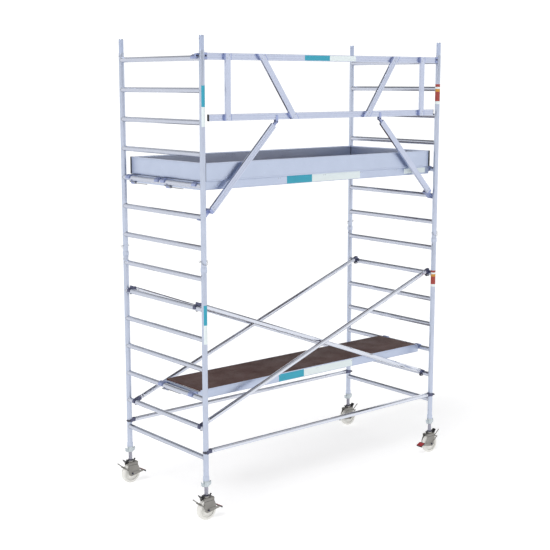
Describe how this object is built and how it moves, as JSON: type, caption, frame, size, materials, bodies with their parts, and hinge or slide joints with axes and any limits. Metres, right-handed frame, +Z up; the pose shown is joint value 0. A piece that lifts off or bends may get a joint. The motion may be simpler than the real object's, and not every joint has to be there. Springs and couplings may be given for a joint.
{
  "type": "mobile tower scaffold",
  "caption": "Aluminium mobile tower scaffold with stacked ladder end frames, cross braces, lower and upper platforms, toe boards, a guardrail and braked castors on adjustable legs.",
  "frame": {"origin": "on the floor under the middle of the tower, halfway between the four posts", "axes": "+X along the platforms, +Y across the tower from the guardrail side to the far side, +Z up"},
  "size_m": [3.3628, 1.392, 4.4316],
  "materials": {
    "post_tube": "ribbed mill-finish extrusion, satin",
    "spigot": "drawn tube, satin",
    "rivet": "zinc-plated button head",
    "clip_wire": "zinc-plated spring wire",
    "brace_tube": "bright drawn tube",
    "claw_casting": "dark gunmetal casting",
    "latch": "pressed steel",
    "beam": "mill-finish extrusion, satin",
    "deck": "brown phenolic film-faced plywood with a slip-resistant mesh",
    "hook_casting": "cast aluminium",
    "hinge": "zinc-plated steel",
    "toe_board": "wide mill-finish extrusion",
    "black_plastic": "moulded",
    "guardrail": "ribbed rectangular extrusion, satin",
    "spindle": "galvanised threaded tube",
    "nut": "galvanised casting",
    "fork": "warm grey pressed steel, zinc lacquer",
    "wheel": "cream-white cast nylon",
    "pedal": "red foot plate on grey arms"
  },
  "bodies": {
    "tower": {"lower_left_frame": "post_tube", "lower_right_frame": "post_tube", "upper_left_frame": "post_tube", "upper_right_frame": "post_tube", "frame_spigots": "spigot", "spigot_rivets": "rivet", "near_rising_brace": "brace_tube", "near_falling_brace": "brace_tube", "far_rising_brace": "brace_tube", "far_falling_brace": "brace_tube", "near_horizontal_brace": "brace_tube", "far_horizontal_brace": "brace_tube", "brace_claws": "claw_casting", "brace_latches": "latch", "lower_platform_frame": "beam", "lower_platform_deck": "deck", "near_platform_frame": "beam", "near_platform_deck": "deck", "far_platform_frame": "beam", "far_platform_deck": "deck", "platform_hooks": "hook_casting", "hatch_hinges": "hinge", "near_toe_board": "toe_board", "far_toe_board": "toe_board", "left_toe_board": "toe_board", "right_toe_board": "toe_board", "toe_board_corners": "black_plastic", "guardrail_frame": "guardrail", "guardrail_hooks": "hook_casting", "guardrail_end_plugs": "black_plastic"},
    "hatch": {"hatch": "deck"},
    "left_guardrail_leg": {"left_guardrail_leg": "guardrail"},
    "right_guardrail_leg": {"right_guardrail_leg": "guardrail"},
    "lower_wind_lock": {"lower_wind_lock": "latch"},
    "near_wind_lock": {"near_wind_lock": "latch"},
    "far_wind_lock": {"far_wind_lock": "latch"},
    "near_left_lock_clip": {"near_left_lock_clip": "clip_wire"},
    "near_left_spindle": {"near_left_spindle": "spindle"},
    "near_left_leg_nut": {"near_left_leg_nut": "nut"},
    "near_left_fork": {"near_left_fork": "fork"},
    "near_left_wheel": {"near_left_wheel": "wheel"},
    "near_left_brake_pedal": {"near_left_brake_pedal": "pedal"},
    "near_right_lock_clip": {"near_right_lock_clip": "clip_wire"},
    "near_right_spindle": {"near_right_spindle": "spindle"},
    "near_right_leg_nut": {"near_right_leg_nut": "nut"},
    "near_right_fork": {"near_right_fork": "fork"},
    "near_right_wheel": {"near_right_wheel": "wheel"},
    "near_right_brake_pedal": {"near_right_brake_pedal": "pedal"},
    "far_left_lock_clip": {"far_left_lock_clip": "clip_wire"},
    "far_left_spindle": {"far_left_spindle": "spindle"},
    "far_left_leg_nut": {"far_left_leg_nut": "nut"},
    "far_left_fork": {"far_left_fork": "fork"},
    "far_left_wheel": {"far_left_wheel": "wheel"},
    "far_left_brake_pedal": {"far_left_brake_pedal": "pedal"},
    "far_right_lock_clip": {"far_right_lock_clip": "clip_wire"},
    "far_right_spindle": {"far_right_spindle": "spindle"},
    "far_right_leg_nut": {"far_right_leg_nut": "nut"},
    "far_right_fork": {"far_right_fork": "fork"},
    "far_right_wheel": {"far_right_wheel": "wheel"},
    "far_right_brake_pedal": {"far_right_brake_pedal": "pedal"}
  },
  "joints": [
    {"name": "near_left_nut_turn", "type": "hinge", "parent": "tower", "child": "near_left_leg_nut", "pos_m": [-1.525, -0.6495, 0.3516], "axis": [0, 0, 1], "range_deg": [-2340, 9000]},
    {"name": "near_left_spindle_slide", "type": "slide", "parent": "tower", "child": "near_left_spindle", "axis": [0, 0, -1], "range_m": [-0.052, 0.2]},
    {"name": "near_left_swivel", "type": "hinge", "parent": "near_left_spindle", "child": "near_left_fork", "pos_m": [-1.525, -0.6495, 0.22], "axis": [0, 0, 1], "continuous": true},
    {"name": "near_left_roll", "type": "hinge", "parent": "near_left_fork", "child": "near_left_wheel", "pos_m": [-1.525, -0.6495, 0.1], "axis": [0, 1, 0], "continuous": true},
    {"name": "near_left_pedal", "type": "hinge", "parent": "near_left_fork", "child": "near_left_brake_pedal", "pos_m": [-1.525, -0.6495, 0.1], "axis": [0, -1, 0], "range_deg": [0, 16]},
    {"name": "near_left_clip_swing", "type": "hinge", "parent": "tower", "child": "near_left_lock_clip", "pos_m": [-1.525, -0.6495, 2.4416], "axis": [-1, 0, 0], "range_deg": [0, 90]},
    {"name": "near_right_nut_turn", "type": "hinge", "parent": "tower", "child": "near_right_leg_nut", "pos_m": [1.525, -0.6495, 0.3516], "axis": [0, 0, 1], "range_deg": [-2340, 9000]},
    {"name": "near_right_spindle_slide", "type": "slide", "parent": "tower", "child": "near_right_spindle", "axis": [0, 0, -1], "range_m": [-0.052, 0.2]},
    {"name": "near_right_swivel", "type": "hinge", "parent": "near_right_spindle", "child": "near_right_fork", "pos_m": [1.525, -0.6495, 0.22], "axis": [0, 0, 1], "continuous": true},
    {"name": "near_right_roll", "type": "hinge", "parent": "near_right_fork", "child": "near_right_wheel", "pos_m": [1.525, -0.6495, 0.1], "axis": [0, 1, 0], "continuous": true},
    {"name": "near_right_pedal", "type": "hinge", "parent": "near_right_fork", "child": "near_right_brake_pedal", "pos_m": [1.525, -0.6495, 0.1], "axis": [0, 1, 0], "range_deg": [0, 16]},
    {"name": "near_right_clip_swing", "type": "hinge", "parent": "tower", "child": "near_right_lock_clip", "pos_m": [1.525, -0.6495, 2.4416], "axis": [-1, 0, 0], "range_deg": [0, 90]},
    {"name": "far_left_nut_turn", "type": "hinge", "parent": "tower", "child": "far_left_leg_nut", "pos_m": [-1.525, 0.6495, 0.3516], "axis": [0, 0, 1], "range_deg": [-2340, 9000]},
    {"name": "far_left_spindle_slide", "type": "slide", "parent": "tower", "child": "far_left_spindle", "axis": [0, 0, -1], "range_m": [-0.052, 0.2]},
    {"name": "far_left_swivel", "type": "hinge", "parent": "far_left_spindle", "child": "far_left_fork", "pos_m": [-1.525, 0.6495, 0.22], "axis": [0, 0, 1], "continuous": true},
    {"name": "far_left_roll", "type": "hinge", "parent": "far_left_fork", "child": "far_left_wheel", "pos_m": [-1.525, 0.6495, 0.1], "axis": [0, 1, 0], "continuous": true},
    {"name": "far_left_pedal", "type": "hinge", "parent": "far_left_fork", "child": "far_left_brake_pedal", "pos_m": [-1.525, 0.6495, 0.1], "axis": [0, -1, 0], "range_deg": [0, 16]},
    {"name": "far_left_clip_swing", "type": "hinge", "parent": "tower", "child": "far_left_lock_clip", "pos_m": [-1.525, 0.6495, 2.4416], "axis": [1, 0, 0], "range_deg": [0, 90]},
    {"name": "far_right_nut_turn", "type": "hinge", "parent": "tower", "child": "far_right_leg_nut", "pos_m": [1.525, 0.6495, 0.3516], "axis": [0, 0, 1], "range_deg": [-2340, 9000]},
    {"name": "far_right_spindle_slide", "type": "slide", "parent": "tower", "child": "far_right_spindle", "axis": [0, 0, -1], "range_m": [-0.052, 0.2]},
    {"name": "far_right_swivel", "type": "hinge", "parent": "far_right_spindle", "child": "far_right_fork", "pos_m": [1.525, 0.6495, 0.22], "axis": [0, 0, 1], "continuous": true},
    {"name": "far_right_roll", "type": "hinge", "parent": "far_right_fork", "child": "far_right_wheel", "pos_m": [1.525, 0.6495, 0.1], "axis": [0, 1, 0], "continuous": true},
    {"name": "far_right_pedal", "type": "hinge", "parent": "far_right_fork", "child": "far_right_brake_pedal", "pos_m": [1.525, 0.6495, 0.1], "axis": [0, 1, 0], "range_deg": [0, 16]},
    {"name": "far_right_clip_swing", "type": "hinge", "parent": "tower", "child": "far_right_lock_clip", "pos_m": [1.525, 0.6495, 2.4416], "axis": [1, 0, 0], "range_deg": [0, 90]},
    {"name": "lower_wind_lock_turn", "type": "hinge", "parent": "tower", "child": "lower_wind_lock", "pos_m": [-1.479, 0, 1.1036], "axis": [0, -1, 0], "range_deg": [0, 70]},
    {"name": "near_wind_lock_turn", "type": "hinge", "parent": "tower", "child": "near_wind_lock", "pos_m": [-1.479, 0, 3.0636], "axis": [0, -1, 0], "range_deg": [0, 70]},
    {"name": "far_wind_lock_turn", "type": "hinge", "parent": "tower", "child": "far_wind_lock", "pos_m": [-1.479, 0, 3.0636], "axis": [0, -1, 0], "range_deg": [0, 70]},
    {"name": "hatch_lift", "type": "hinge", "parent": "tower", "child": "hatch", "pos_m": [-0.888, -0.5225, 3.1636], "axis": [1, 0, 0], "range_deg": [0, 95]},
    {"name": "left_leg_swing", "type": "hinge", "parent": "tower", "child": "left_guardrail_leg", "pos_m": [-0.675, -0.645, 3.6666], "axis": [0, -1, 0], "range_deg": [0, 44]},
    {"name": "right_leg_swing", "type": "hinge", "parent": "tower", "child": "right_guardrail_leg", "pos_m": [0.675, -0.645, 3.6666], "axis": [0, 1, 0], "range_deg": [0, 44]}
  ],
  "couplings": [
    {"joint": "near_left_spindle_slide", "follows": "near_left_nut_turn", "m_per_rad": 0.0012732},
    {"joint": "near_right_spindle_slide", "follows": "near_right_nut_turn", "m_per_rad": 0.0012732},
    {"joint": "far_left_spindle_slide", "follows": "far_left_nut_turn", "m_per_rad": 0.0012732},
    {"joint": "far_right_spindle_slide", "follows": "far_right_nut_turn", "m_per_rad": 0.0012732}
  ]
}
